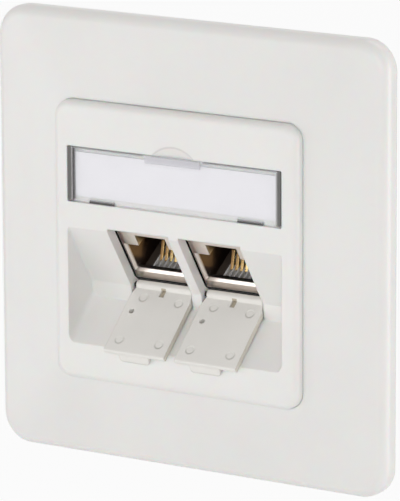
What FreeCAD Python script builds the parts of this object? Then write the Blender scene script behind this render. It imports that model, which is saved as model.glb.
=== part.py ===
import FreeCAD, Part
import math
import os
import re
import Sketcher

# Data outlet for a flush wall box: a cover frame, a centre plate with a label bay and a slanted
# recess, and two shielded jacks behind hinged dust covers.
# The origin is the middle of the outlet on the wall plane, +Z is up and the front faces -Y.

# Driving dimensions, in millimetres and degrees.
SIZES = {
    # cover frame, heights measured from the wall
    "frame_size": 80.0,
    "frame_corner": 5.5,
    "frame_rise": 6.0,
    "rim_rise": 3.2,
    "rim_round": 2.0,
    "frame_wall": 1.6,
    "frame_land": 0.6,
    "frame_step": 4.0,
    "ledge_reach": 1.0,
    "ledge_thick": 1.3,
    "seat_rise": 4.2,
    # centre plate
    "plate_size": 50.0,
    "plate_corner": 3.0,
    "plate_proud": 2.0,
    "plate_round": 1.3,
    "plate_wall": 1.5,
    "face_wall": 2.0,
    "fit_gap": 0.04,
    # slanted recess, its wall leaning back from the vertical and its floor falling to the front
    "recess_margin": 3.0,
    "recess_top": 2.35,
    "recess_drop": 20.75,
    "recess_round": 1.2,
    "crease_round": 0.3,
    "tilt": 34.0,
    "floor_slope": 40.5,
    "crease_down": 13.3,
    "strip_run": 0.45,
    "slant_start": 0.5,
    "slant_wall": 1.85,
    "floor_wall": 1.35,
    "opening_pitch": 14.7,
    "opening_width": 12.7,
    "opening_lip": 0.37,
    # label bay, window and paper strip
    "label_margin": 3.0,
    "label_height": 10.0,
    "label_base": 7.0,
    "bay_depth": 1.0,
    "window_gap": 0.12,
    "window_sill": 0.3,
    "window_skin": 0.6,
    "rail_width": 1.0,
    "grip_width": 11.4,
    "grip_height": 1.3,
    "grip_proud": 0.3,
    "lug_offset": 15.25,
    "lug_width": 5.0,
    "lug_drop": 0.3,
    "lug_root": 0.5,
    "lug_thick": 0.35,
    "notch_rise": 0.22,
    "slot_width": 5.4,
    "slot_drop": 0.45,
    "slot_skin": 0.45,
    "slot_depth": 1.5,
    "dish_radius": 5.8,
    "dish_rise": 1.8,
    "dish_sphere": 20.0,
    "paper_thick": 0.35,
    "paper_margin": 0.2,
    "paper_inset": 1.05,
    # screw behind the label
    "screw_height": 12.0,
    "screw_radius": 1.5,
    "screw_head": 2.9,
    "screw_play": 0.1,
    "screw_length": 12.0,
    "boss_radius": 4.0,
    "boss_rise": 2.0,
    "boss_overlap": 0.2,
    "post_radius": 3.5,
    "post_length": 5.0,
    # dust cover
    "flap_length": 14.5,
    "flap_thick": 1.0,
    "flap_gap": 0.1,
    "flap_clear": 0.1,
    "flap_ear": 2.6,
    "hinge_down": 14.28,
    "hinge_depth": 1.29,
    "hinge_offset": 0.3,
    "hinge_cover": 1.4,
    "knuckle_radius": 0.85,
    "knuckle_inset": 0.6,
    "pin_radius": 0.45,
    "pin_length": 0.6,
    "pin_play": 0.05,
    "pin_wall": 0.6,
    "nail_width": 6.2,
    "nail_offset": 0.45,
    "nail_drop": 1.3,
    "nail_foot": 1.0,
    "nail_lean": 0.4,
    "nail_thick": 0.3,
    "nail_inset": 0.1,
    "vent_radius": 0.5,
    "vent_offset": 4.45,
    "vent_along": 5.76,
    "gate_width": 0.95,
    "gate_start": 0.6,
    "gate_length": 1.5,
    # jack shell, depths measured inwards from the slanted wall and heights down along it
    "jack_front": 2.6,
    "jack_width": 13.2,
    "jack_top": 1.75,
    "jack_bottom": 14.9,
    "jack_length": 19.15,
    "port_width": 11.8,
    "shell_corner": 0.4,
    "port_top": 5.4,
    "port_bottom": 11.65,
    "port_depth": 13.65,
    "port_bevel": 0.45,
    "latch_width": 6.3,
    "latch_top": 2.9,
    "lip_bottom": 13.75,
    "lip_step": 0.6,
    "lip_depth": 1.2,
    "cavity_top": 2.5,
    "cavity_bottom": 14.2,
    "carrier_play": 0.05,
    "comb_set": 1.95,
    "comb_down": 13.0,
    # contacts
    "contact_pitch": 1.02,
    "contact_width": 0.54,
    "contact_thick": 0.34,
    "contact_low": 13.6,
    "contact_set": 2.35,
    "contact_bend": 0.35,
    "contact_angle": 45.0,
    "contact_peak": 10.9,
    "contact_tail": 12.4,
    "tail_angle": 35.0,
    "slit_width": 0.68,
    # wire terminals behind the jack
    "board_thick": 1.4,
    "board_margin": 0.15,
    "block_length": 7.0,
    "slot_pitch": 3.0,
    "blade_thick": 0.5,
    "blade_slit": 0.8,
    "blade_lift": 0.3,
    "cap_length": 14.0,
    "cap_wall": 0.5,
    "cap_back": 1.2,
    "cap_round": 1.0,
    "cable_radius": 4.5,
    # support frame
    "support_room": 3.4,
    "support_corner": 6.0,
    "support_thick": 1.5,
    "window_half": 24.0,
    "window_low": 20.8,
    "window_high": 7.2,
    "window_corner": 1.5,
    "brace_height": 4.0,
    "box_spacing": 60.0,
    "box_slot_width": 3.6,
    "box_slot_length": 7.0,
    "bay_start": 12.0,
    "bay_length": 5.0,
    "bay_wall": 1.6,
    "bay_play": 0.15,
    "holder_start": 5.0,
    "holder_thick": 1.5,
    "holder_drop": 20.0,
    "holder_room": 0.6,
}

# Distances that follow from the driving dimensions.
PLATE_FRONT = "(frame_rise + plate_proud)"
LEDGE_RISE = "(seat_rise - ledge_thick)"
RECESS_WIDTH = "(plate_size - 2 * recess_margin)"
LABEL_WIDTH = "(plate_size - 2 * label_margin)"
JACK_BACK = "(jack_front + jack_length)"
# An open dust cover lies on the front edge of the recess floor, and that sets its slope.
HINGE_RUN = "(hinge_down * sin(tilt) + hinge_depth * cos(tilt))"
HINGE_RISE = "(recess_drop - hinge_down * cos(tilt) + hinge_depth * sin(tilt))"
FLAP_SLOPE = (
    f"(atan({HINGE_RISE} / {HINGE_RUN}) - asin((hinge_offset + flap_thick / 2 + flap_clear) / "
    f"hypot({HINGE_RISE}; {HINGE_RUN})))"
)
# Half-size of a sketch before its constraints pull it into shape.
ROUGH = 10.0
SIDES = (("left", -1), ("right", 1))

doc = FreeCAD.newDocument("data_outlet")
sheet = doc.addObject("Spreadsheet::Sheet", "Sizes")
for row, (alias, value) in enumerate(SIZES.items(), 1):
    sheet.set(f"A{row}", alias)
    sheet.set(f"B{row}", str(value))
    sheet.setAlias(f"B{row}", alias)
doc.recompute()
pieces = []


def bound(text):
    """Points every size name in an expression at its cell in the sheet."""
    return re.sub(r"[a-z_]+", lambda word: "Sizes." + word[0] if word[0] in SIZES else word[0], str(text))


def size(name):
    """Present value of one driving dimension."""
    return float(getattr(sheet, name))


def slant(down, inward):
    """Side-view point (y, z) at a distance down the slanted wall and inwards from its face."""
    across = f"-{PLATE_FRONT} + ({down}) * sin(tilt) + ({inward}) * cos(tilt)"
    height = f"recess_top - ({down}) * cos(tilt) + ({inward}) * sin(tilt)"
    return across, height


def floor(run, depth):
    """Side-view point (y, z) at a distance up the recess floor from its front edge and below it."""
    across = f"-{PLATE_FRONT} + ({run}) * cos(floor_slope) + ({depth}) * sin(floor_slope)"
    height = f"recess_top - recess_drop + ({run}) * sin(floor_slope) - ({depth}) * cos(floor_slope)"
    return across, height


def placed(piece, base=("0", "0", "0"), turn="0"):
    """Binds a piece's place, turned about X, to the sheet."""
    spot = "; ".join(base)
    piece.setExpression("Placement", bound(f"placement(vector({spot}); rotation(vector(1; 0; 0); {turn}))"))


def jack_place(side):
    """Place of everything that belongs to one jack: Y runs inwards along it, Z up the slanted wall."""
    return (f"{side} * opening_pitch / 2", f"-{PLATE_FRONT}", "recess_top"), "tilt"


def placed_local(piece, base, turn, shift):
    """Binds a piece's place to a shift inside a turned frame."""
    spot, step = "; ".join(base), "; ".join(shift)
    frame = f"placement(vector({spot}); rotation(vector(1; 0; 0); {turn}))"
    inner = f"placement(vector({step}); rotation(vector(1; 0; 0); 0))"
    piece.setExpression("Placement", bound(f"{frame} * {inner}"))


def new_body(label, base=("0", "0", "0"), turn="0"):
    body = doc.addObject("PartDesign::Body", label)
    body.Label = label
    placed(body, base, turn)
    pieces.append(body)
    return body


def new_sketch(body, role, lift):
    """Empty sketch parallel to an origin plane of its body, lifted along that plane's normal."""
    sketch = body.newObject("Sketcher::SketchObject", "Outline")
    plane = next(item for item in body.Origin.OriginFeatures if item.Role == role)
    sketch.AttachmentSupport = [(plane, "")]
    sketch.MapMode = "FlatFace"
    sketch.setExpression("AttachmentOffset.Base.z", bound(lift))
    return sketch


def pin_point(sketch, geometry, point, across, height):
    """Fixes a sketch point at a pair of expressions."""
    for kind, text in (("DistanceX", across), ("DistanceY", height)):
        number = sketch.addConstraint(Sketcher.Constraint(kind, -1, 1, geometry, point, 1.0))
        sketch.setExpression(f"Constraints[{number}]", bound(text))


def polygon(body, role, corners, lift="0", closed=True):
    """Sketch of straight lines through the given corners."""
    sketch = new_sketch(body, role, lift)
    count = len(corners)
    turns = [2 * math.pi * index / count for index in range(count)]
    ring = [FreeCAD.Vector(ROUGH * math.cos(turn), ROUGH * math.sin(turn), 0) for turn in turns]
    lines = count if closed else count - 1
    for index in range(lines):
        sketch.addGeometry(Part.LineSegment(ring[index], ring[(index + 1) % count]))
    for index in range(lines if closed else lines - 1):
        sketch.addConstraint(Sketcher.Constraint("Coincident", index, 2, (index + 1) % count, 1))
    for index in range(lines):
        pin_point(sketch, index, 1, *corners[index])
    if not closed:
        pin_point(sketch, lines - 1, 2, *corners[-1])
    return sketch


def rectangle(body, role, left, low, wide, tall, lift="0"):
    """Sketch of an upright rectangle from its lower left corner."""
    right = f"({left}) + ({wide})"
    high = f"({low}) + ({tall})"
    return polygon(body, role, [(left, low), (right, low), (right, high), (left, high)], lift)


def rounded(body, role, left, low, wide, tall, radius, lift="0"):
    """Sketch of an upright rectangle with rounded corners."""
    sketch = new_sketch(body, role, lift)
    half, turn = ROUGH, ROUGH / 5
    centres = [(-half, -half), (half, -half), (half, half), (-half, half)]
    outer = half + turn
    ends = [
        ((-half, -outer), (half, -outer)),
        ((outer, -half), (outer, half)),
        ((half, outer), (-half, outer)),
        ((-outer, half), (-outer, -half)),
    ]
    for start, stop in ends:
        sketch.addGeometry(Part.LineSegment(FreeCAD.Vector(*start, 0), FreeCAD.Vector(*stop, 0)))
    for index, centre in enumerate(centres):
        circle = Part.Circle(FreeCAD.Vector(*centre, 0), FreeCAD.Vector(0, 0, 1), turn)
        begin = math.radians(90 * index - 180)
        sketch.addGeometry(Part.ArcOfCircle(circle, begin, begin + math.pi / 2))
    for index in range(4):
        sketch.addConstraint(Sketcher.Constraint("Tangent", 4 + index, 2, index, 1))
        sketch.addConstraint(Sketcher.Constraint("Tangent", index, 2, 4 + (index + 1) % 4, 1))
        sketch.addConstraint(Sketcher.Constraint("Vertical" if index % 2 else "Horizontal", index))
    for index in (5, 6, 7):
        sketch.addConstraint(Sketcher.Constraint("Equal", 4, index))
    number = sketch.addConstraint(Sketcher.Constraint("Radius", 4, turn))
    sketch.setExpression(f"Constraints[{number}]", bound(radius))
    pin_point(sketch, 4, 3, f"({left}) + ({radius})", f"({low}) + ({radius})")
    number = sketch.addConstraint(Sketcher.Constraint("DistanceX", 4, 3, 5, 3, 2 * half))
    sketch.setExpression(f"Constraints[{number}]", bound(f"({wide}) - 2 * ({radius})"))
    number = sketch.addConstraint(Sketcher.Constraint("DistanceY", 5, 3, 6, 3, 2 * half))
    sketch.setExpression(f"Constraints[{number}]", bound(f"({tall}) - 2 * ({radius})"))
    return sketch


def rounded_square(body, width, radius, lift="0"):
    """Rounded square about the middle of the outlet, parallel to the wall."""
    return rounded(body, "XZ_Plane", f"-({width}) / 2", f"-({width}) / 2", width, width, radius, lift)


def disc(body, role, across, height, radius, lift="0"):
    """Sketch of one circle."""
    sketch = new_sketch(body, role, lift)
    sketch.addGeometry(Part.Circle(FreeCAD.Vector(0, 0, 0), FreeCAD.Vector(0, 0, 1), 1.0))
    number = sketch.addConstraint(Sketcher.Constraint("Radius", 0, 1.0))
    sketch.setExpression(f"Constraints[{number}]", bound(radius))
    pin_point(sketch, 0, 3, across, height)
    return sketch


def extrude(body, kind, sketch, length, midplane, back):
    feature = body.newObject(kind, "Feature")
    feature.Profile = sketch
    feature.Midplane = midplane
    feature.Reversed = back
    feature.setExpression("Length", bound(length))
    return feature


def pad(body, sketch, length, midplane=False, back=False):
    feature = extrude(body, "PartDesign::Pad", sketch, length, midplane, back)
    doc.recompute()
    return feature


def pocket(body, sketch, length, midplane=False, back=False):
    """Cuts the sketch out of the body and makes sure that something was cut."""
    before = body.Shape.Volume
    feature = extrude(body, "PartDesign::Pocket", sketch, length, midplane, back)
    doc.recompute()
    if body.Shape.Volume > before - 1e-6:
        raise RuntimeError(f"a pocket of {body.Label} cuts nothing")
    return feature


def dress(body, kind, amount, chosen):
    """Rounds or bevels the edges of a body that the test accepts."""
    base = body.Tip
    names = [f"Edge{number}" for number, edge in enumerate(base.Shape.Edges, 1) if chosen(edge)]
    if not names:
        raise RuntimeError(f"no edge of {body.Label} to dress")
    feature = body.newObject(kind, "Dressing")
    feature.Base = (base, names)
    feature.setExpression("Radius" if kind.endswith("Fillet") else "Size", bound(amount))
    doc.recompute()
    return feature


def fillet(body, radius, chosen):
    return dress(body, "PartDesign::Fillet", radius, chosen)


def chamfer(body, width, chosen):
    return dress(body, "PartDesign::Chamfer", width, chosen)


def within(edge, axis, low, high, slack=1e-3):
    """True if an edge lies between two values of one coordinate."""
    box = edge.BoundBox
    return getattr(box, axis + "Min") >= low - slack and getattr(box, axis + "Max") <= high + slack


def repeat(body, feature, direction, length, count):
    """Repeats a feature in a straight row."""
    row = body.newObject("PartDesign::LinearPattern", "Row")
    row.Originals = [feature]
    row.Direction = (feature.Profile[0], [direction])
    row.setExpression("Length", bound(length))
    row.Occurrences = count
    body.Tip = row
    doc.recompute()
    return row


def cover_frame():
    """Square frame, hollow behind, with a ledge that the rim of the centre plate presses on."""
    body = new_body("cover_frame")
    opening = "plate_size + 2 * fit_gap"
    opening_corner = "plate_corner + fit_gap"
    pad(body, rounded_square(body, "frame_size", "frame_corner"), "rim_rise")
    crown = body.newObject("PartDesign::AdditiveLoft", "Crown")
    crown.Profile = rounded_square(body, "frame_size", "frame_corner", "rim_rise")
    crown.Sections = [
        rounded_square(
            body, f"{opening} + 2 * frame_land", f"{opening_corner} + frame_land", "frame_rise"
        )
    ]
    crown.Ruled = True
    doc.recompute()
    rim = -size("rim_rise")
    fillet(body, "rim_round", lambda edge: within(edge, "Y", rim, rim))
    seat = rounded_square(body, opening, opening_corner, "frame_rise")
    pocket(body, seat, "frame_rise - seat_rise")
    ledge = rounded_square(body, "plate_size - 2 * ledge_reach", "plate_corner", "frame_rise")
    pocket(body, ledge, "frame_rise")
    skirt = rounded_square(body, "frame_size - 2 * frame_wall", "frame_corner - frame_wall")
    pocket(body, skirt, "rim_rise - frame_wall", back=True)
    step = rounded_square(body, "frame_size - 2 * (frame_wall + frame_step)", "frame_corner - frame_wall")
    pocket(body, step, LEDGE_RISE, back=True)
    face = -size("frame_rise")
    reach = size("plate_size") / 2 + size("fit_gap")
    fillet(
        body,
        "frame_land / 3",
        lambda edge: within(edge, "Y", face, face) and within(edge, "X", -reach, reach)
        and within(edge, "Z", -reach, reach),
    )


def centre_plate():
    """Moulded plate: shallow box with a label bay, a slanted recess and two openings for the jacks."""
    body = new_body("centre_plate")
    front = -(size("frame_rise") + size("plate_proud"))
    block = rounded_square(body, "plate_size", "plate_corner", "seat_rise")
    pad(body, block, f"{PLATE_FRONT} - seat_rise")
    fillet(body, "plate_round", lambda edge: within(edge, "Y", front, front))
    inner = "plate_size - 2 * plate_wall"
    hollow = rounded_square(body, inner, "plate_corner - plate_wall", "seat_rise")
    pocket(body, hollow, f"{PLATE_FRONT} - face_wall - seat_rise", back=True)

    boss_depth = "hinge_depth + pin_radius + pin_play + pin_wall"
    rear_top = slant("slant_start", "slant_wall")
    rear_low = slant("hinge_down + hinge_cover", boss_depth)
    under = "recess_top - recess_drop - floor_wall / cos(floor_slope)"
    tub = polygon(
        body,
        "YZ_Plane",
        [
            rear_top, slant("hinge_down - hinge_cover", "slant_wall"),
            slant("hinge_down", boss_depth), rear_low,
            (rear_low[0], f"{under} + ({rear_low[0]} + {PLATE_FRONT}) * tan(floor_slope)"),
            (rear_top[0], f"{under} + ({rear_top[0]} + {PLATE_FRONT}) * tan(floor_slope)"),
        ],
    )
    pad(body, tub, inner, midplane=True)

    crease = slant("crease_down", "0")
    outside = f"-{PLATE_FRONT} - plate_proud"
    strip_back = f"{crease[0]} + strip_run"
    strip_foot = (
        strip_back,
        f"recess_top - recess_drop + ({strip_back} + {PLATE_FRONT}) * tan(floor_slope)",
    )
    sill = floor("0", "0")
    recess = polygon(
        body,
        "YZ_Plane",
        [(outside, "recess_top"), slant("0", "0"), crease, strip_foot, sill, (outside, sill[1])],
    )
    pocket(body, recess, RECESS_WIDTH, midplane=True)
    half = size("plate_size") / 2 - size("recess_margin")
    top = size("recess_top")
    foot = top - size("recess_drop")
    back = front + size("crease_down") * math.sin(math.radians(size("tilt"))) + size("strip_run")
    knee = foot + (back - front) * math.tan(math.radians(size("floor_slope")))

    def recess_edge(edge):
        hollow_edge = within(edge, "X", -half, half) and within(edge, "Z", foot, top)
        return hollow_edge and within(edge, "Y", front, back) and not within(edge, "Y", front, front)

    def floor_side(edge):
        return recess_edge(edge) and edge.BoundBox.XLength < 1e-3 and within(edge, "Z", foot, knee)

    fillet(body, "recess_round", floor_side)
    fillet(body, "crease_round", lambda edge: recess_edge(edge) and not within(edge, "Z", foot, knee - 0.1))

    for name, side in SIDES:
        lift = f"{side} * opening_pitch / 2"
        opening = polygon(
            body,
            "YZ_Plane",
            [
                slant("-opening_lip", "-plate_proud"),
                slant("-opening_lip", "slant_wall + plate_proud"),
                floor("recess_drop * 0.7", "0"),
                floor("recess_drop * 0.25", "0"),
            ],
            lift,
        )
        pocket(body, opening, "opening_width", midplane=True)
        bore = disc(body, "YZ_Plane", *slant("hinge_down", "hinge_depth"), "pin_radius + pin_play", lift)
        pocket(body, bore, "opening_width + 2 * pin_length + 4 * pin_play", midplane=True)

    bay = rounded(
        body, "XZ_Plane", f"-{LABEL_WIDTH} / 2", "label_base", LABEL_WIDTH, "label_height",
        "window_gap * 2", PLATE_FRONT,
    )
    pocket(body, bay, "bay_depth")
    for side in (-1, 1):
        slot = rectangle(
            body, "XZ_Plane", f"{side} * lug_offset - slot_width / 2", "label_base - slot_drop",
            "slot_width", "slot_drop * 2", f"{PLATE_FRONT} - slot_skin",
        )
        pocket(body, slot, "slot_depth - slot_skin")
    dish = body.newObject("PartDesign::SubtractiveSphere", "FingerDish")
    dish.setExpression("Radius", bound("dish_sphere"))
    lead = "sqrt(dish_sphere * dish_sphere - dish_radius * dish_radius)"
    middle = "label_base + label_height + dish_rise - dish_radius"
    placed(dish, ("0", f"-{PLATE_FRONT} - {lead}", middle))
    doc.recompute()

    boss = disc(body, "XZ_Plane", "0", "screw_height", "boss_radius", "boss_rise")
    pad(body, boss, f"{PLATE_FRONT} - face_wall - boss_rise + boss_overlap")
    hole = disc(body, "XZ_Plane", "0", "screw_height", "screw_radius + screw_play", PLATE_FRONT)
    pocket(body, hole, PLATE_FRONT)
    seat = front + size("bay_depth")
    head = size("screw_head")
    chamfer(
        body,
        "screw_head - screw_radius",
        lambda edge: within(edge, "Y", seat, seat) and within(edge, "X", -head, head),
    )


def label_window():
    """Clear cover that snaps into the label bay, with end rails, a grip lip and two lugs to swing on."""
    body = new_body("label_window")
    left = f"-{LABEL_WIDTH} / 2 + window_gap"
    low = "label_base + window_sill"
    wide = f"{LABEL_WIDTH} - 2 * window_gap"
    tall = "label_height - window_gap - window_sill"
    skin = rounded(
        body, "XZ_Plane", left, low, wide, tall, "window_gap * 2", f"{PLATE_FRONT} - window_skin"
    )
    pad(body, skin, "window_skin")
    for start in (left, f"-({left}) - rail_width"):
        rail = rounded(
            body, "XZ_Plane", start, low, "rail_width", tall, "window_gap * 2", f"{PLATE_FRONT} - bay_depth"
        )
        pad(body, rail, "bay_depth")
    grip = rectangle(
        body, "XZ_Plane", "-grip_width / 2", f"{low} + {tall} - grip_height", "grip_width",
        "grip_height", PLATE_FRONT,
    )
    pad(body, grip, "grip_proud")
    for side in (-1, 1):
        lug = rectangle(
            body, "XZ_Plane", f"{side} * lug_offset - lug_width / 2", "label_base - lug_drop",
            "lug_width", "lug_drop + window_sill + lug_root", f"{PLATE_FRONT} - window_skin - lug_thick",
        )
        pad(body, lug, "lug_thick")
        notch = rectangle(
            body, "XZ_Plane", f"{side} * lug_offset - slot_width / 2", "label_base", "slot_width",
            "window_sill + notch_rise", PLATE_FRONT,
        )
        pocket(body, notch, "window_skin")
    brow = -(size("frame_rise") + size("plate_proud") + size("grip_proud"))
    fillet(body, "grip_proud * 0.6", lambda edge: within(edge, "Y", brow, brow))


def label_strip():
    """Blank paper strip lying on the floor of the label bay."""
    strip = doc.addObject("Part::Box", "label_strip")
    strip.Label = "label_strip"
    wide = f"({LABEL_WIDTH} - 2 * (window_gap + rail_width + paper_margin))"
    strip.setExpression("Length", bound(wide))
    strip.setExpression("Width", bound("paper_thick"))
    strip.setExpression("Height", bound("label_height - 2 * paper_inset"))
    back = f"-{PLATE_FRONT} + bay_depth - paper_thick"
    placed(strip, (f"-{wide} / 2", back, "label_base + paper_inset"))
    pieces.append(strip)


def plate_screw():
    """Countersunk screw with a cross recess that draws the plate against the support frame."""
    body = new_body("plate_screw", ("0", f"-{PLATE_FRONT} + bay_depth", "screw_height"))
    profile = polygon(
        body,
        "YZ_Plane",
        [
            ("0", "0"),
            ("0", "screw_head"),
            ("screw_head - screw_radius", "screw_radius"),
            ("screw_length - screw_radius / 2", "screw_radius"),
            ("screw_length", "screw_radius / 2"),
            ("screw_length", "0"),
        ],
    )
    turned = body.newObject("PartDesign::Revolution", "Turned")
    turned.Profile = profile
    turned.ReferenceAxis = (profile, ["H_Axis"])
    turned.Angle = 360
    doc.recompute()
    arm, blade = "screw_head * 0.62", "screw_radius * 0.28"
    cross = [
        (blade, blade), (arm, blade), (arm, f"-{blade}"), (blade, f"-{blade}"),
        (blade, f"-{arm}"), (f"-{blade}", f"-{arm}"), (f"-{blade}", f"-{blade}"), (f"-{arm}", f"-{blade}"),
        (f"-{arm}", blade), (f"-{blade}", blade), (f"-{blade}", arm), (blade, arm),
    ]
    pocket(body, polygon(body, "XZ_Plane", cross), "screw_radius * 0.7")


def dust_cover(name, side):
    """Flap with a knuckle and two pins; Z runs from the hinge axis to the free end, shown open."""
    base = (f"{side} * opening_pitch / 2", *slant("hinge_down", "hinge_depth"))
    body = new_body(f"dust_cover_{name}", base, f"90 deg + {FLAP_SLOPE}")
    half = "(opening_width / 2 - flap_gap)"
    knuckle_half = "(opening_width / 2 - knuckle_inset)"
    outer = "-hinge_offset - flap_thick / 2"
    inner = "flap_thick / 2 - hinge_offset"
    root = "knuckle_radius / 2"
    leaf = polygon(
        body,
        "XZ_Plane",
        [
            (f"-{half}", "flap_ear"), (f"-{knuckle_half}", root), (f"-{knuckle_half}", "0"),
            (knuckle_half, "0"), (knuckle_half, root), (half, "flap_ear"),
            (half, "flap_length"), (f"-{half}", "flap_length"),
        ],
        f"-({inner})",
    )
    pad(body, leaf, "flap_thick")
    brink = size("flap_length")
    fillet(
        body,
        "flap_thick * 0.3",
        lambda edge: within(edge, "Z", brink, brink) and edge.BoundBox.XLength > 1,
    )
    nail = polygon(
        body,
        "YZ_Plane",
        [
            (f"{outer} + nail_inset", "flap_length - nail_foot"),
            (f"{outer} - nail_drop", "flap_length + nail_lean - nail_thick"),
            (f"{outer} - nail_drop", "flap_length + nail_lean"),
            (f"{outer} + nail_inset", "flap_length - nail_inset"),
        ],
        "-nail_offset",
    )
    pad(body, nail, "nail_width", midplane=True)
    tip = -size("hinge_offset") - size("flap_thick") / 2 - size("nail_drop")
    fillet(
        body,
        "nail_drop / 2",
        lambda edge: edge.BoundBox.XLength < 1e-3 and edge.BoundBox.YMin < tip + 1e-3
        and edge.BoundBox.YLength < 1e-3,
    )
    pad(body, disc(body, "YZ_Plane", "0", "0", "knuckle_radius"), f"2 * {knuckle_half}", midplane=True)
    pins = disc(body, "YZ_Plane", "0", "0", "pin_radius")
    pad(body, pins, "opening_width + 2 * pin_length", midplane=True)
    vent = disc(body, "XZ_Plane", "-vent_offset", "vent_along", "vent_radius", f"-({inner})")
    pocket(body, vent, "flap_thick", back=True)
    gate = rectangle(
        body, "XZ_Plane", "-gate_width / 2", "gate_start", "gate_width", "gate_length", f"-({inner})"
    )
    pocket(body, gate, "flap_thick / 3", back=True)


def jack_shell(name, side):
    """Plated die-cast shell: a port with a latch notch in front, a cavity for the carrier behind."""
    body = new_body(f"jack_shell_{name}", *jack_place(side))
    ahead = "-jack_front"
    rear = f"-{JACK_BACK}"
    block = rounded(
        body, "XZ_Plane", "-jack_width / 2", "-jack_bottom", "jack_width", "jack_bottom - jack_top",
        "shell_corner", ahead,
    )
    pad(body, block, "jack_length", back=True)
    mouth, notch = "port_width / 2", "latch_width / 2"
    port = polygon(
        body,
        "XZ_Plane",
        [
            (f"-{mouth}", "-port_bottom"), (mouth, "-port_bottom"), (mouth, "-port_top"),
            (notch, "-port_top"), (notch, "-latch_top"), (f"-{notch}", "-latch_top"),
            (f"-{notch}", "-port_top"), (f"-{mouth}", "-port_top"),
        ],
        ahead,
    )
    pocket(body, port, "port_depth")
    face = size("jack_front")
    reach = size("port_width") / 2
    low, high = -size("port_bottom"), -size("port_top")

    def mouth_edge(edge):
        in_port = within(edge, "X", -reach, reach) and within(edge, "Z", low, high)
        beside = within(edge, "X", -reach, -reach) or within(edge, "X", reach, reach)
        return within(edge, "Y", face, face) and in_port and (beside or within(edge, "Z", low, low))

    chamfer(body, "port_bevel", mouth_edge)
    step = rectangle(
        body, "XZ_Plane", "-jack_width / 2", "-jack_bottom", "jack_width", "jack_bottom - lip_bottom", ahead
    )
    pocket(body, step, "lip_step")
    under = rectangle(
        body, "XZ_Plane", "-port_width / 2", "-cavity_bottom", "port_width",
        "cavity_bottom - port_bottom", rear,
    )
    pocket(body, under, "jack_length - lip_depth", back=True)
    behind = rectangle(
        body, "XZ_Plane", "-port_width / 2", "-cavity_bottom", "port_width",
        "cavity_bottom - cavity_top", rear,
    )
    pocket(body, behind, "jack_length - port_depth", back=True)


def contact_carrier(name, side):
    """Plastic carrier: a floor with a comb of slits under the port and a block behind it."""
    body = new_body(f"contact_carrier_{name}", *jack_place(side))
    start = "(jack_front + comb_set)"
    block_start = "(jack_front + port_depth + carrier_play)"
    roof = "-cavity_top - carrier_play"
    profile = polygon(
        body,
        "YZ_Plane",
        [
            (start, "-cavity_bottom"), (JACK_BACK, "-cavity_bottom"), (JACK_BACK, roof), (block_start, roof),
            (block_start, "-comb_down"), (start, "-comb_down"),
        ],
    )
    pad(body, profile, "port_width - 2 * carrier_play", midplane=True)
    first = "-3.5 * contact_pitch - slit_width / 2"
    slit = rectangle(
        body, "XY_Plane", first, f"{start} - slit_width", "slit_width",
        f"{block_start} - {start} + slit_width", "-comb_down",
    )
    repeat(body, pocket(body, slit, "contact_low - comb_down + contact_thick"), "H_Axis",
           "7 * contact_pitch", 8)
    channel = rectangle(
        body, "XZ_Plane", first, "-contact_low - contact_thick", "slit_width", "2 * contact_thick",
        f"-{JACK_BACK}",
    )
    repeat(body, pocket(body, channel, f"{JACK_BACK} - {block_start} + slit_width / 3", back=True), "H_Axis",
           "7 * contact_pitch", 8)


def contact(name, side, number):
    """Gilded spring strip: it lies in its slit, turns back on itself and stands up in the port as a hump."""
    base, turn = jack_place(side)
    base = (f"{base[0]} + {number - 4.5} * contact_pitch", *base[1:])
    body = new_body(f"contact_{name}_{number}", base, turn)
    bend = "(jack_front + comb_set + contact_set)"
    peak = f"({bend} + contact_bend + (comb_down - contact_peak) / tan(contact_angle))"
    tail = f"({peak} + contact_bend + (contact_tail - contact_peak) / tan(tail_angle))"
    spine = polygon(
        body,
        "YZ_Plane",
        [
            (JACK_BACK, "-contact_low"),
            (f"{bend} + contact_bend", "-contact_low"),
            (bend, "-(contact_low + comb_down) / 2"),
            (f"{bend} + contact_bend", "-comb_down"),
            (peak, "-contact_peak"),
            (f"{peak} + contact_bend", "-contact_peak"),
            (tail, "-contact_tail"),
        ],
        closed=False,
    )
    section = rectangle(
        body, "XZ_Plane", "-contact_width / 2", "-contact_low - contact_thick / 2", "contact_width",
        "contact_thick", f"-{JACK_BACK}",
    )
    strip = body.newObject("PartDesign::AdditivePipe", "Strip")
    strip.Profile = section
    strip.Spine = (spine, [])
    strip.Transition = "Round corner"
    doc.recompute()


def circuit_board(name, side):
    """Small board between the contacts and the wire terminals."""
    board = doc.addObject("Part::Box", f"circuit_board_{name}")
    board.Label = f"circuit_board_{name}"
    board.setExpression("Length", bound("port_width + 2 * board_margin"))
    board.setExpression("Width", bound("board_thick"))
    board.setExpression("Height", bound("cavity_bottom - cavity_top + 2 * board_margin"))
    base, turn = jack_place(side)
    shift = ("-port_width / 2 - board_margin", JACK_BACK, "-cavity_bottom - board_margin")
    placed_local(board, base, turn, shift)
    pieces.append(board)


def terminal_block(name, side):
    """Block behind the board with a row of wire slits along its top and another along its foot."""
    body = new_body(f"terminal_block_{name}", *jack_place(side))
    start = f"({JACK_BACK} + board_thick)"
    block = rectangle(
        body, "XZ_Plane", "-port_width / 2", "-cavity_bottom", "port_width", "cavity_bottom - cavity_top",
        f"-{start}",
    )
    pad(body, block, "block_length", back=True)
    for low in ("-cavity_bottom", "-cavity_top - block_length / 2"):
        slit = rectangle(
            body, "XZ_Plane", "-1.5 * slot_pitch - blade_slit / 2", low, "blade_slit", "block_length / 2",
            f"-{start} - block_length",
        )
        repeat(body, pocket(body, slit, "block_length * 0.7", back=True), "H_Axis", "3 * slot_pitch", 4)


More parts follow.
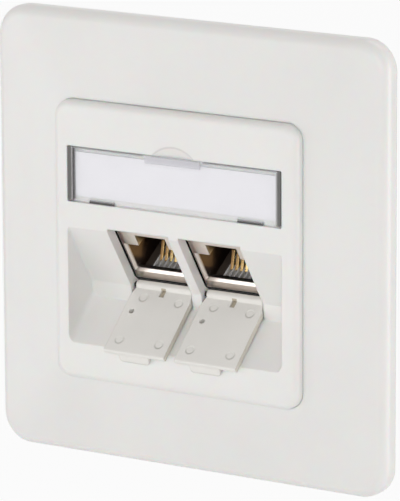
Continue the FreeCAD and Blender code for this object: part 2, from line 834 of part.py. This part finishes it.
def terminal_blades(name, side):
    """Slotted metal blades, one standing in each wire slit."""
    start = f"({JACK_BACK} + board_thick + block_length * 0.3)"
    base, turn = jack_place(side)
    blades = []
    for low in ("-cavity_bottom + blade_lift", "-cavity_top - block_length / 2"):
        for index in range(4):
            blade = doc.addObject("Part::Box", "Blade")
            blade.setExpression("Length", bound("blade_thick"))
            blade.setExpression("Width", bound("block_length * 0.6"))
            blade.setExpression("Height", bound("block_length / 2 - blade_lift"))
            placed(blade, (f"{index - 1.5} * slot_pitch - blade_thick / 2", start, low))
            blades.append(blade)
    group = doc.addObject("Part::Compound", f"terminal_blades_{name}")
    group.Label = f"terminal_blades_{name}"
    group.Links = blades
    placed(group, base, turn)
    pieces.append(group)


def rear_shell(name, side):
    """Plated cap over the terminals with a round entry for the cable."""
    body = new_body(f"rear_shell_{name}", *jack_place(side))
    block = rounded(
        body, "XZ_Plane", "-jack_width / 2", "-jack_bottom", "jack_width", "jack_bottom - jack_top",
        "shell_corner", f"-{JACK_BACK}",
    )
    pad(body, block, "cap_length", back=True)
    back = size("jack_front") + size("jack_length") + size("cap_length")
    fillet(body, "cap_round", lambda edge: within(edge, "Y", back, back))
    hollow = rectangle(
        body, "XZ_Plane", "-jack_width / 2 + cap_wall", "-jack_bottom + cap_wall",
        "jack_width - 2 * cap_wall",
        "jack_bottom - jack_top - 2 * cap_wall", f"-{JACK_BACK}",
    )
    pocket(body, hollow, "cap_length - cap_back")
    entry = disc(body, "XZ_Plane", "0", "-(jack_bottom + jack_top) / 2", "cable_radius", f"-{JACK_BACK}")
    pocket(body, entry, "cap_length")


def support_frame():
    """Die-cast carrier: a flange with box screw slots, a slanted holder plate and a bay for the jacks."""
    body = new_body("support_frame")
    flange = rounded_square(body, "frame_size - 2 * (frame_wall + support_room)", "support_corner")
    pad(body, flange, "support_thick")
    window = rounded(
        body, "XZ_Plane", "-window_half", "-window_low", "2 * window_half", "window_low + window_high",
        "window_corner", "support_thick",
    )
    pocket(body, window, "support_thick")
    radius = "box_slot_width / 2 - 0.001"
    for side in (-1, 1):
        level = rounded(
            body, "XZ_Plane", f"{side} * box_spacing / 2 - box_slot_length / 2", "-box_slot_width / 2",
            "box_slot_length", "box_slot_width", radius, "support_thick",
        )
        pocket(body, level, "support_thick")
        upright = rounded(
            body, "XZ_Plane", "-box_slot_width / 2", f"{side} * box_spacing / 2 - box_slot_length / 2",
            "box_slot_width", "box_slot_length", radius, "support_thick",
        )
        pocket(body, upright, "support_thick")

    stop = "bay_start + bay_length"
    roof = "jack_top - bay_play - bay_wall"
    sole = "jack_bottom + bay_wall"
    inner = "(opening_pitch / 2 + jack_width / 2 + bay_play)"
    cheek = [
        ("-support_thick", "window_high"), ("-support_thick", "window_high + brace_height"),
        slant(roof, stop), slant(sole, stop), slant(sole, "holder_start"), slant(roof, "holder_start"),
    ]
    for side in (-1, 1):
        lift = f"{side} * ({inner} + bay_wall / 2)"
        pad(body, polygon(body, "YZ_Plane", cheek, lift), "bay_wall", midplane=True)
    for top, foot in ((roof, "jack_top - bay_play"), ("jack_bottom", sole)):
        bar = [slant(top, "bay_start"), slant(top, stop), slant(foot, stop), slant(foot, "bay_start")]
        pad(body, polygon(body, "YZ_Plane", bar), f"2 * {inner} + bay_wall", midplane=True)
    back = "(holder_start + holder_thick)"
    holder = [
        slant(roof, "holder_start"), slant(roof, back), slant("holder_drop", back),
        slant("holder_drop", "holder_start"),
    ]
    pad(body, polygon(body, "YZ_Plane", holder), "2 * (window_half - holder_room)", midplane=True)
    for name, side in SIDES:
        ahead = "holder_start - bay_play"
        passage = [
            slant("jack_top - bay_play", ahead), slant("jack_top - bay_play", back),
            slant("jack_bottom + bay_play", back), slant("jack_bottom + bay_play", ahead),
        ]
        lift = f"{side} * opening_pitch / 2"
        pocket(body, polygon(body, "YZ_Plane", passage, lift), "jack_width + 2 * bay_play", midplane=True)
    rib = [slant(roof, "bay_start"), slant(roof, stop), slant(sole, stop), slant(sole, "bay_start")]
    pad(body, polygon(body, "YZ_Plane", rib), "opening_pitch - jack_width - 2 * bay_play", midplane=True)
    post = disc(body, "XZ_Plane", "0", "screw_height", "post_radius", "boss_rise")
    pad(body, post, "post_length", back=True)
    hole = disc(body, "XZ_Plane", "0", "screw_height", "screw_radius + screw_play / 5", "boss_rise")
    pocket(body, hole, "2 * post_length")


cover_frame()
centre_plate()
label_window()
label_strip()
plate_screw()
support_frame()
for name, side in SIDES:
    dust_cover(name, side)
    jack_shell(name, side)
    contact_carrier(name, side)
    for number in range(1, 9):
        contact(name, side, number)
    circuit_board(name, side)
    terminal_block(name, side)
    terminal_blades(name, side)
    rear_shell(name, side)
doc.recompute()

for item in doc.Objects:
    if "Invalid" in item.State or "Error" in item.State:
        raise RuntimeError(f"{item.Name} of the document failed")
os.makedirs("parts", exist_ok=True)
for piece in pieces:
    if piece.Shape.isNull() or not piece.Shape.isValid():
        raise RuntimeError(f"{piece.Label} has no valid shape")
    piece.Shape.exportStep(f"parts/{piece.Label}.step")
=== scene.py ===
import math

import bpy
import numpy as np
from mathutils import Matrix, Vector

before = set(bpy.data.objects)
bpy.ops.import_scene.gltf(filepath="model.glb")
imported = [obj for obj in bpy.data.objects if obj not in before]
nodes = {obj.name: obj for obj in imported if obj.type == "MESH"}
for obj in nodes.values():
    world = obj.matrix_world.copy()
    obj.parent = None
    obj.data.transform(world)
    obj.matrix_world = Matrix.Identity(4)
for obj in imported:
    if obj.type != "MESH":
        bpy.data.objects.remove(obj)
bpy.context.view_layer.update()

# Support frame: a die-cast zinc carrier that two screws hold on the wall box. Its skin is dull grey,
# with the fine grain of the mould and paler flow marks. The face of its slanted holder, which stands
# behind the ports, is painted black as painted shade.


class Shade:
    """One socket of a material's node tree; arithmetic on it adds Math nodes to that tree."""

    def __init__(self, socket):
        self.socket = socket

    def node(self, kind, settings=None, inputs=None, output=0):
        """Adds a node of a type, sets its settings, then feeds its sockets, and gives one output."""
        tree = self.socket.id_data
        made = tree.nodes.new(kind)
        for name, value in (settings or {}).items():
            setattr(made, name, value)
        for name, value in (inputs or {}).items():
            if isinstance(value, Shade):
                tree.links.new(value.socket, made.inputs[name])
            else:
                made.inputs[name].default_value = value
        return Shade(made.outputs[output])

    def math(self, operation, *values):
        """Adds a Math node for an operation on up to three values."""
        return self.node("ShaderNodeMath", {"operation": operation}, dict(enumerate(values)))

    def __add__(self, other):
        return self.math("ADD", self, other)

    def __sub__(self, other):
        return self.math("SUBTRACT", self, other)

    def __rsub__(self, other):
        return self.math("SUBTRACT", other, self)

    def __mul__(self, other):
        return self.math("MULTIPLY", self, other)

    def __abs__(self):
        return self.math("ABSOLUTE", self)

    __radd__ = __add__
    __rmul__ = __mul__

    def least(self, other):
        return self.math("MINIMUM", self, other)

    def most(self, other):
        return self.math("MAXIMUM", self, other)

    def root(self):
        return self.math("SQRT", self)

    def rise(self, low, high):
        """Smooth step from 0 at low to 1 at high."""
        limits = {"Value": self, "From Min": low, "From Max": high}
        return self.node("ShaderNodeMapRange", {"interpolation_type": "SMOOTHSTEP"}, limits)

    def fall(self, low, high):
        """Smooth step from 1 at low to 0 at high."""
        return 1 - self.rise(low, high)

    def noise(self, grain, detail=2.0):
        """Cloudy pattern with spots about one grain across, in metres."""
        inputs = {"Vector": self, "Scale": 1 / grain, "Detail": detail}
        return self.node("ShaderNodeTexNoise", None, inputs)

    def blend(self, first, second):
        """Colour that goes from the first to the second as this value goes from 0 to 1."""
        ends = [end if isinstance(end, Shade) else (*end, 1) for end in (first, second)]
        return self.node("ShaderNodeMix", {"data_type": "RGBA"}, {0: self, 6: ends[0], 7: ends[1]}, 2)

    def part(self, axis):
        """One coordinate of a place."""
        return self.node("ShaderNodeSeparateXYZ", None, {0: self}, "XYZ".index(axis))


def new_finish(name, **constants):
    """Finish with the same values all over; gives it, its shader and the place on the piece."""
    material = bpy.data.materials.new(name)
    material.use_nodes = True
    shader = material.node_tree.nodes["Principled BSDF"]
    for socket, value in constants.items():
        shader.inputs[socket.replace("_", " ")].default_value = value
    return material, shader, Shade(shader.outputs[0]).node("ShaderNodeTexCoord", output="Object")


def feed(shader, **varying):
    """Links what changes over the surface to the shader's sockets."""
    for socket, shade in varying.items():
        shader.id_data.links.new(shade.socket, shader.inputs[socket.replace("_", " ")])


def bumped(height, depth, strength=1.0, edge=0.0001):
    """Normal of a surface that stands proud by depth where the height is 1, with rounded edges."""
    eased = height.node("ShaderNodeBevel", {"samples": 8}, {"Radius": edge})
    inputs = {"Strength": strength, "Distance": depth, "Height": height, "Normal": eased}
    return height.node("ShaderNodeBump", None, inputs)


def wears(material, *names):
    """Puts a finish on CAD nodes."""
    for name in names:
        nodes[name].material_slots[0].material = material


TILT = math.radians(34)
SLANT_TOP = (-0.008, 0.00235)


def slanted(spot):
    """Distance down along the slanted wall and distance inwards from its face, in metres."""
    run, drop = spot.part("Y") - SLANT_TOP[0], SLANT_TOP[1] - spot.part("Z")
    down = run * math.sin(TILT) + drop * math.cos(TILT)
    inward = run * math.cos(TILT) - drop * math.sin(TILT)
    return down, inward


# Where the shade of a finish changes, a pair gives the start and end of the change, in metres.
HOLDER_HALF, HOLDER_FOOT = (0.0238, 0.0239), (0.0200, 0.0202)
HOLDER_FACE, HOLDER_BACK = (0.0048, 0.0049), (0.0053, 0.0054)
FLOW_WIDTH, CAST_GRAIN, CAST_DEPTH = 0.009, 0.0004, 0.00003
ZINC_SHADES = (0.42, 0.42, 0.41), (0.50, 0.50, 0.49)
HOLDER_SHADE_BLACK = (0.03, 0.03, 0.03)
zinc, shader, spot = new_finish("cast_zinc", Metallic=1.0)
flow = spot.noise(FLOW_WIDTH, 4.0)
grain = spot.noise(CAST_GRAIN)
down, inward = slanted(spot)
# Painted shade: the face of the holder behind the ports is painted black.
holder_painted_shade = abs(spot.part("X")).fall(*HOLDER_HALF) * down.fall(*HOLDER_FOOT)
holder_painted_shade *= inward.rise(*HOLDER_FACE) * inward.fall(*HOLDER_BACK)
skin = flow.rise(0.3, 0.7).blend(*ZINC_SHADES)
feed(
    shader,
    Base_Color=holder_painted_shade.blend(skin, HOLDER_SHADE_BLACK),
    Roughness=0.42 + 0.2 * grain,
    Normal=bumped(grain, CAST_DEPTH),
)
wears(zinc, "support_frame")

# Jack shells: die-cast housings with a warm nickel plating, snapped side by side into the holder of
# the support frame. The plating is bright with a faint waviness in front. Painted shade darkens it to
# brown inside the port and to black outside, in the narrow gaps round the shell.
SIDES = {"left": -0.00735, "right": 0.00735}
SHELL_SIDE, SHELL_FOOT = (0.00645, 0.0065), (0.0138, 0.0139)
SHELL_FRONT, SHELL_REAR = (0.0027, 0.0028), (0.0066, 0.0075)
PORT_WALL, PORT_FOOT = (0.0052, 0.0056), (0.0112, 0.0115)
PORT_DARKENS, WALL_DARKENS, PORT_END = (0.0026, 0.0044), (0.0029, 0.0034), (0.0195, 0.0205)
HAZE_WIDTH, SCUFF_WIDTH, SCUFF_DEPTH, SHELL_EDGE = 0.0025, 0.0003, 0.000006, 0.0002
BRIGHT_NICKEL = (0.77, 0.69, 0.635), (0.93, 0.865, 0.81)
PORT_SHADE_NICKEL = (0.075, 0.05, 0.042), (0.17, 0.125, 0.105)
GAP_SHADE_BLACK = (0.01, 0.01, 0.01)
for side, middle in SIDES.items():
    nickel, shader, spot = new_finish(f"warm_nickel_{side}", Metallic=1.0)
    haze = spot.noise(HAZE_WIDTH, 3.0)
    scuff = spot.noise(SCUFF_WIDTH)
    off_middle = abs(spot.part("X") - middle)
    down, inward = slanted(spot)
    on_side = off_middle.rise(*SHELL_SIDE) * inward.rise(*SHELL_FRONT)
    # Painted shade: black in the narrow gaps beside and under the shell.
    gap_painted_shade = on_side.most(down.rise(*SHELL_FOOT)) * inward.fall(*SHELL_REAR)
    side_wall = off_middle.rise(*PORT_WALL) * down.fall(*PORT_FOOT)
    # Painted shade: dark brown plating deeper inside the port and on its side walls.
    port_painted_shade = inward.rise(*PORT_DARKENS).most(side_wall * inward.rise(*WALL_DARKENS))
    port_painted_shade *= inward.fall(*PORT_END)
    plating = port_painted_shade.blend(haze.blend(*BRIGHT_NICKEL), haze.blend(*PORT_SHADE_NICKEL))
    feed(
        shader,
        Base_Color=gap_painted_shade.blend(plating, GAP_SHADE_BLACK),
        Roughness=0.24 + 0.16 * haze,
        Normal=bumped(scuff, SCUFF_DEPTH, edge=SHELL_EDGE),
    )
    wears(nickel, f"jack_shell_{side}")

# Contact carriers: pale nylon blocks with a comb of ribs that keeps the contacts apart, moulded with
# a matt skin and pushed into the shells from behind. The slits of the comb and the faces beside it
# are painted dark, as painted shade.
CONTACT_PITCH, COMB_HALF = 0.00102, (0.00425, 0.0043)
SLIT_SHARE = (0.24, 0.34)
NYLON_CLOUD, NYLON_GRAIN, NYLON_DEPTH = 0.0015, 0.00025, 0.00001
RIB_SHADES = (0.88, 0.88, 0.88), (0.95, 0.95, 0.95)
SLIT_SHADE_DARK = (0.09, 0.07, 0.055)
nylon, shader, spot = new_finish("grey_nylon")
cloud = spot.noise(NYLON_CLOUD, 3.0)
off_middle = abs(spot.part("X")) - SIDES["right"]
from_rib = off_middle.math("PINGPONG", off_middle * (1 / CONTACT_PITCH), 0.5)
# Painted shade: the slits of the comb and the faces beside it are dark.
slit_and_cheek_shade = abs(off_middle).rise(*COMB_HALF).most(from_rib.rise(*SLIT_SHARE))
feed(
    shader,
    Base_Color=slit_and_cheek_shade.blend(cloud.blend(*RIB_SHADES), SLIT_SHADE_DARK),
    Roughness=0.45 + 0.15 * cloud,
    Normal=bumped(spot.noise(NYLON_GRAIN), NYLON_DEPTH),
)
wears(nylon, *(f"contact_carrier_{side}" for side in SIDES))

# Contacts: eight gilded bronze springs in each jack, stamped from strip, bent, and held in the slits
# of the carrier. The gilding is bright, with the fine draw of the rolled strip along it.
CONTACTS_EACH = 8
DRAW_SQUEEZE, DRAW_WIDTH, DRAW_DEPTH = (8, 1, 1), 0.002, 0.000004
GILT_SHADES = (0.86, 0.56, 0.20), (0.98, 0.78, 0.42)


def drawn_out(spot, squeeze, width, detail):
    """Cloudy pattern drawn out into streaks: each coordinate is first multiplied by its squeeze."""
    return spot.node("ShaderNodeMapping", None, {"Vector": spot, "Scale": squeeze}).noise(width, detail)


gilding, shader, spot = new_finish("gilding", Metallic=1.0)
draw = drawn_out(spot, DRAW_SQUEEZE, DRAW_WIDTH, 3.0)
feed(
    shader,
    Base_Color=draw.blend(*GILT_SHADES),
    Roughness=0.14 + 0.16 * draw,
    Normal=bumped(draw, DRAW_DEPTH),
)
for side in SIDES:
    wears(gilding, *(f"contact_{side}_{number + 1}" for number in range(CONTACTS_EACH)))

# Circuit boards: small boards of glass laminate under a green lacquer, soldered to the contacts in
# front and to the terminal blades behind. The woven glass shows faintly through the lacquer.
THREADS = 300.0
LACQUER_SHADES = (0.02, 0.13, 0.06), (0.03, 0.20, 0.09)
laminate, shader, spot = new_finish("green_laminate")
warp = spot.node("ShaderNodeTexWave", {"bands_direction": "X"}, {"Vector": spot, "Scale": THREADS})
weft = spot.node("ShaderNodeTexWave", {"bands_direction": "Z"}, {"Vector": spot, "Scale": THREADS})
weave = warp * weft
feed(
    shader,
    Base_Color=weave.blend(*LACQUER_SHADES),
    Roughness=0.3 + 0.15 * weave,
)
wears(laminate, *(f"circuit_board_{side}" for side in SIDES))

# Wire terminals: black nylon blocks behind the boards, moulded with slits for the wires. Tinned
# blades stand in the slits and cut through the insulation of the wires that are pressed in.
BLOCK_CLOUD, BLOCK_GRAIN, BLOCK_DEPTH = 0.0012, 0.0003, 0.00001
BLOCK_SHADES = (0.018, 0.018, 0.019), (0.035, 0.035, 0.036)
black_nylon, shader, spot = new_finish("black_nylon")
cloud = spot.noise(BLOCK_CLOUD, 3.0)
feed(
    shader,
    Base_Color=cloud.blend(*BLOCK_SHADES),
    Roughness=0.42 + 0.2 * cloud,
    Normal=bumped(spot.noise(BLOCK_GRAIN), BLOCK_DEPTH),
)
wears(black_nylon, *(f"terminal_block_{side}" for side in SIDES))
TIN_CLOUD = 0.0008
TIN_SHADES = (0.62, 0.61, 0.58), (0.78, 0.77, 0.74)
tin, shader, spot = new_finish("dull_tin", Metallic=1.0)
cloud = spot.noise(TIN_CLOUD, 3.0)
feed(
    shader,
    Base_Color=cloud.blend(*TIN_SHADES),
    Roughness=0.3 + 0.25 * cloud,
)
wears(tin, *(f"terminal_blades_{side}" for side in SIDES))

# Rear shells: pressed caps over the terminals with a round cable entry, clipped to the jack shells.
# Their nickel is duller than the shells', with the faint drag of the press along it.
DRAG_SQUEEZE, DRAG_WIDTH, DRAG_DEPTH = (6, 1, 1), 0.004, 0.000008
SATIN_SHADES = (0.50, 0.47, 0.43), (0.60, 0.57, 0.52)
satin, shader, spot = new_finish("satin_nickel", Metallic=1.0)
drag = drawn_out(spot, DRAG_SQUEEZE, DRAG_WIDTH, 4.0)
feed(
    shader,
    Base_Color=drag.rise(0.25, 0.75).blend(*SATIN_SHADES),
    Roughness=0.36 + 0.16 * drag,
    Normal=bumped(drag, DRAG_DEPTH),
)
wears(satin, *(f"rear_shell_{side}" for side in SIDES))

# Cover frame: a white thermoplastic moulding with a satin face, held down by the centre plate.
# The mould leaves a very fine spark-eroded grain, and the white clouds slightly.
WHITE_CLOUD, MOULD_GRAIN, MOULD_DEPTH, MOULD_EDGE = 0.02, 0.00035, 0.000008, 0.0003
FRAME_WHITES = (0.830, 0.824, 0.812), (0.850, 0.844, 0.832)


def white_moulding(name, whites):
    """Plastic with slow clouds of white, a satin gloss that follows them, and a fine grain."""
    material, shader, spot = new_finish(name, IOR=1.5, Subsurface_Weight=0.3, Subsurface_Scale=0.001)
    cloud = spot.noise(WHITE_CLOUD, 3.0)
    grain = spot.noise(MOULD_GRAIN)
    feed(shader, Roughness=0.25 + 0.10 * cloud, Normal=bumped(grain, MOULD_DEPTH, 0.6, MOULD_EDGE))
    return material, shader, spot, cloud.rise(0.3, 0.7).blend(*whites)


frame_white, shader, spot, skin = white_moulding("frame_white", FRAME_WHITES)
feed(shader, Base_Color=skin)
wears(frame_white, "cover_frame")

# Centre plate: the same white plastic, a shallow box with the label bay and the slanted recess in
# one moulding. Its screw behind the label draws it and the cover frame against the support frame.
# A fine grey line of painted shade marks the rim of the finger dish above the label.
DISH_MIDDLE, DISH_RADIUS = 0.0130, 0.0058
DISH_FOOT, RIM_HALF = (0.0170, 0.0171), (0.0, 0.0003)
PLATE_WHITES = (0.846, 0.839, 0.824), (0.866, 0.859, 0.845)
RIM_SHADE_GREY = (0.70, 0.69, 0.68)
plate_white, shader, spot, skin = white_moulding("plate_white", PLATE_WHITES)
across, above = spot.part("X"), spot.part("Z") - DISH_MIDDLE
off_rim = abs((across * across + above * above).root() - DISH_RADIUS)
# Painted shade: a fine grey line along the rim of the finger dish.
rim_painted_shade = off_rim.fall(*RIM_HALF) * spot.part("Z").rise(*DISH_FOOT)
feed(shader, Base_Color=rim_painted_shade.blend(skin, RIM_SHADE_GREY))
wears(plate_white, "centre_plate")

# Plate screw: a countersunk steel screw with a cross recess, plated with bright zinc. It is driven
# through the floor of the label bay into the support frame.
STEEL_CLOUD = 0.0006
STEEL_SHADES = (0.58, 0.58, 0.57), (0.72, 0.72, 0.70)
steel, shader, spot = new_finish("plated_steel", Metallic=1.0)
cloud = spot.noise(STEEL_CLOUD, 3.0)
feed(
    shader,
    Base_Color=cloud.blend(*STEEL_SHADES),
    Roughness=0.25 + 0.2 * cloud,
)
wears(steel, "plate_screw")

# Dust covers: greyer white flaps that swing on two pins moulded with them, shown open. The inner
# face, which looks to the front, carries round marks of the ejector pins and the gate mark, painted
# beige as painted shade. Painted shade also makes the side edges beige and the hinge pins dark.
HINGE, SLOPE = (0.0010547, -0.0087673), math.radians(42.868)
EJECTORS = (-0.0034, 0.0027), (0.0041, 0.0029), (-0.0041, 0.0119), (0.0041, 0.0118)
EJECTOR_RADIUS, EJECTOR_BLUR, EJECTOR_DEPTH = 0.0008, 0.0002, 0.00016
RING_HALF, RING_SHARE, INNER_FACE = (0.0, 0.0003), 0.2, (0.00012, 0.00016)
GATE_SIDE, GATE_FLOOR = (0.000455, 0.000485), (-0.000183, -0.000153)
GATE_START, GATE_END = (0.0005, 0.0006), (0.0021, 0.00215)
PIN_ROOT, PIN_REACH, FLAP_SIDE = (0.00575, 0.00577), (0.00055, 0.0006), (0.00622, 0.00624)
FLAP_CLOUD, FLAP_EDGE, GRAIN_SHARE = 0.008, 0.00025, 0.05
FLAP_WHITES = (0.830, 0.812, 0.778), (0.890, 0.872, 0.838)
EDGE_SHADE_BEIGE, GATE_SHADE_BEIGE = (0.76, 0.72, 0.64), (0.52, 0.46, 0.36)
PIN_SHADE_DARK, RING_GREY = (0.03, 0.028, 0.025), (0.60, 0.575, 0.53)
for side, middle in SIDES.items():
    flap_white, shader, spot = new_finish(f"flap_white_{side}", IOR=1.5)
    cloud = spot.noise(FLAP_CLOUD, 3.0)
    grain = spot.noise(MOULD_GRAIN)
    across, inward, upward = spot.part("X") - middle, spot.part("Y") - HINGE[0], spot.part("Z") - HINGE[1]
    along = inward * -math.cos(SLOPE) - upward * math.sin(SLOPE)
    proud = inward * -math.sin(SLOPE) + upward * math.cos(SLOPE)
    on_leaf = spot.node("ShaderNodeCombineXYZ", None, {"X": across, "Y": along})
    gap, *others = [
        on_leaf.node("ShaderNodeVectorMath", {"operation": "DISTANCE"}, {0: on_leaf, 1: (*pin, 0)}, 1)
        for pin in EJECTORS
    ]
    for other in others:
        gap = gap.least(other)
    inside = proud.rise(*INNER_FACE)
    dent = gap.fall(EJECTOR_RADIUS - EJECTOR_BLUR, EJECTOR_RADIUS + EJECTOR_BLUR) * inside
    ring = abs(gap - EJECTOR_RADIUS).fall(*RING_HALF) * inside
    # Painted shade: the floor of the gate mark is beige.
    gate_painted_shade = abs(across).fall(*GATE_SIDE) * along.rise(*GATE_START) * along.fall(*GATE_END)
    gate_painted_shade *= proud.rise(*GATE_FLOOR)
    # Painted shade: the hinge pins are dark.
    pin_painted_shade = abs(across).rise(*PIN_ROOT) * along.fall(*PIN_REACH)
    # Painted shade: the side edges of the flap are beige.
    leaf = abs(across).rise(*FLAP_SIDE).blend(cloud.blend(*FLAP_WHITES), EDGE_SHADE_BEIGE)
    skin = (RING_SHARE * ring).blend(pin_painted_shade.blend(leaf, PIN_SHADE_DARK), RING_GREY)
    feed(
        shader,
        Base_Color=gate_painted_shade.blend(skin, GATE_SHADE_BEIGE),
        Roughness=0.34 + 0.12 * cloud,
        Normal=bumped(grain * GRAIN_SHARE - dent, EJECTOR_DEPTH, edge=FLAP_EDGE),
    )
    wears(flap_white, f"dust_cover_{side}")

# Label strip: a blank slip of white paper, faintly cool, cut to the size of the label bay. It lies
# loose there behind the window, matt from its fibres.
FIBRE_SQUEEZE, FIBRE_WIDTH, FIBRE_DEPTH = (1, 1, 3), 0.0006, 0.00001
PAPER_WHITES = (0.945, 0.942, 0.98), (0.965, 0.962, 0.995)
paper, shader, spot = new_finish("label_paper")
fibre = drawn_out(spot, FIBRE_SQUEEZE, FIBRE_WIDTH, 5.0)
feed(
    shader,
    Base_Color=fibre.blend(*PAPER_WHITES),
    Roughness=0.8 + 0.1 * fibre,
    Normal=bumped(fibre, FIBRE_DEPTH),
)
wears(paper, "label_strip")

# Label window: a clear cover that snaps over the label and lifts by the lip at its top. The solid
# rails at its ends and the lugs are painted dark grey, as painted shade of the bay behind them. The
# lip and the top edge look grey, because one looks into the depth of the plastic there.
RAIL_START, RAIL_CORE = (0.02082, 0.02092), (0.0209, 0.0213)
LUG_MIDDLE, LUG_HALF, LUG_TOP, LUG_FACE = 0.01525, (0.0026, 0.0027), (0.00725, 0.0073), (-0.00745, -0.00742)
LIP_FACE, LIP_HALF = (-0.0081, -0.00802), (0.00565, 0.00575)
BROW_FOOT, BROW_START = (0.01662, 0.01668), (0.0058, 0.0064)
TINT_WIDTH = 0.006
PANE_WHITE, LIP_GREY, BROW_GREY = (0.88, 0.87, 0.92), (0.66, 0.65, 0.71), (0.30, 0.30, 0.31)
RAIL_SHADE_GREYS, LUG_SHADE_GREY = ((0.42, 0.41, 0.42), (0.10, 0.095, 0.09)), (0.10, 0.10, 0.10)
clear, shader, spot = new_finish("clear_cover", IOR=1.49, Roughness=0.08)
across, inward, upward = abs(spot.part("X")), spot.part("Y"), spot.part("Z")
tint = spot.noise(TINT_WIDTH, 2.0)
rail = across.rise(*RAIL_START)
lug = abs(across - LUG_MIDDLE).fall(*LUG_HALF) * upward.fall(*LUG_TOP) * inward.rise(*LUG_FACE)
lip = inward.fall(*LIP_FACE) * across.fall(*LIP_HALF)
brow = upward.rise(*BROW_FOOT) * across.rise(*BROW_START)
pane = brow.blend(lip.blend(PANE_WHITE, LIP_GREY), BROW_GREY)
# Painted shade: the rails are dark grey towards their core, and the lugs dark grey.
feed(
    shader,
    Base_Color=lug.blend(rail.blend(pane, across.rise(*RAIL_CORE).blend(*RAIL_SHADE_GREYS)), LUG_SHADE_GREY),
    Alpha=0.08 + 0.04 * tint + 0.75 * rail.most(lug) + 0.6 * lip.most(brow),
)
wears(clear, "label_window")

# Studio: a plain pale floor well below the outlet and white surroundings. Five square lamps light
# the outlet softly from in front, above, both sides and behind, and the camera stands at the
# photograph's place.
FLOOR_HEIGHT, FLOOR_HALF, FLOOR_CLOUD, FLOOR_GLOW = -0.45, 4.0, 0.4, 0.94
FLOOR_SHADES = (0.86, 0.86, 0.86), (0.90, 0.90, 0.90)
WHITE, ROOM_GREY = (1, 1, 1), (0.335, 0.33, 0.32)
floor = bpy.data.objects.new("floor", bpy.data.meshes.new("floor"))
corners = FLOOR_HALF * np.array([[-1, -1], [1, -1], [1, 1], [-1, 1]])
floor.data.from_pydata(np.c_[corners, np.full(4, FLOOR_HEIGHT)].tolist(), [], [(0, 1, 2, 3)])
bpy.context.scene.collection.objects.link(floor)
pale_floor, shader, spot = new_finish("pale_floor", Roughness=0.9)
feed(shader, Base_Color=spot.noise(FLOOR_CLOUD, 2.0).blend(*FLOOR_SHADES))
floor.data.materials.append(pale_floor)


def seen_white(shade):
    """1 for rays that show the surroundings: to the camera, mirrored or through clear plastic."""
    kinds = ("Is Camera Ray", "Is Glossy Ray", "Is Transmission Ray")
    direct, glossy, through = [shade.node("ShaderNodeLightPath", output=kind) for kind in kinds]
    return direct.most(glossy).most(through)


lit = Shade(shader.outputs["BSDF"])
glow = lit.node("ShaderNodeEmission", None, {"Color": (*WHITE, 1)})
shown = lit.node("ShaderNodeMixShader", None, {0: FLOOR_GLOW * seen_white(lit), 1: lit, 2: glow})
feed(pale_floor.node_tree.nodes["Material Output"], Surface=shown)

world = bpy.data.worlds.new("studio")
bpy.context.scene.world = world
world.use_nodes = True
surround = world.node_tree.nodes["Background"]
feed(surround, Color=seen_white(Shade(surround.outputs["Background"])).blend(ROOM_GREY, WHITE))

LAMP_DISTANCE, LAMP_WIDTH = 1.2, 0.8
LAMPS = {
    "front_lamp": (0, 0, 0.75),
    "upper_lamp": (25, 20, 2.1),
    "left_lamp": (-45, 0, 1.45),
    "right_lamp": (105, 0, 2.7),
    "back_lamp": (180, 60, 1.6),
}


def toward(azimuth, elevation):
    """Direction from the outlet: turned from the front to the right, then lifted, in degrees."""
    turn, lift = math.radians(azimuth), math.radians(elevation)
    return Vector((math.sin(turn) * math.cos(lift), -math.cos(turn) * math.cos(lift), math.sin(lift)))


for name, (azimuth, elevation, level) in LAMPS.items():
    lamp = bpy.data.lights.new(name, "AREA")
    lamp.size = LAMP_WIDTH
    lamp.energy = math.pi * LAMP_WIDTH * LAMP_WIDTH * level
    holder = bpy.data.objects.new(name, lamp)
    holder.location = toward(azimuth, elevation) * LAMP_DISTANCE
    holder.rotation_euler = toward(azimuth, elevation).to_track_quat("Z", "Y").to_euler()
    bpy.context.scene.collection.objects.link(holder)

VIEW_AZIMUTH, VIEW_ELEVATION, VIEW_ROLL = 32.465, 12.712, math.radians(-0.282)
VIEW_DISTANCE, VIEW_LENS, VIEW_SENSOR = 0.774066, 321.2, 36
VIEW_TARGET = Vector((0.00426, -0.006, 0.000769))
back = toward(VIEW_AZIMUTH, VIEW_ELEVATION)
sideways = toward(VIEW_AZIMUTH + 90, 0)
right = math.cos(VIEW_ROLL) * sideways + math.sin(VIEW_ROLL) * back.cross(sideways)
turned = Matrix((right, back.cross(right), back)).transposed().to_4x4()
camera = bpy.data.objects.new("camera", bpy.data.cameras.new("camera"))
camera.data.lens = VIEW_LENS
camera.data.sensor_width = VIEW_SENSOR
camera.matrix_world = Matrix.Translation(VIEW_TARGET + back * VIEW_DISTANCE) @ turned
bpy.context.scene.collection.objects.link(camera)
bpy.context.scene.camera = camera
bpy.context.scene.view_settings.view_transform = "Standard"
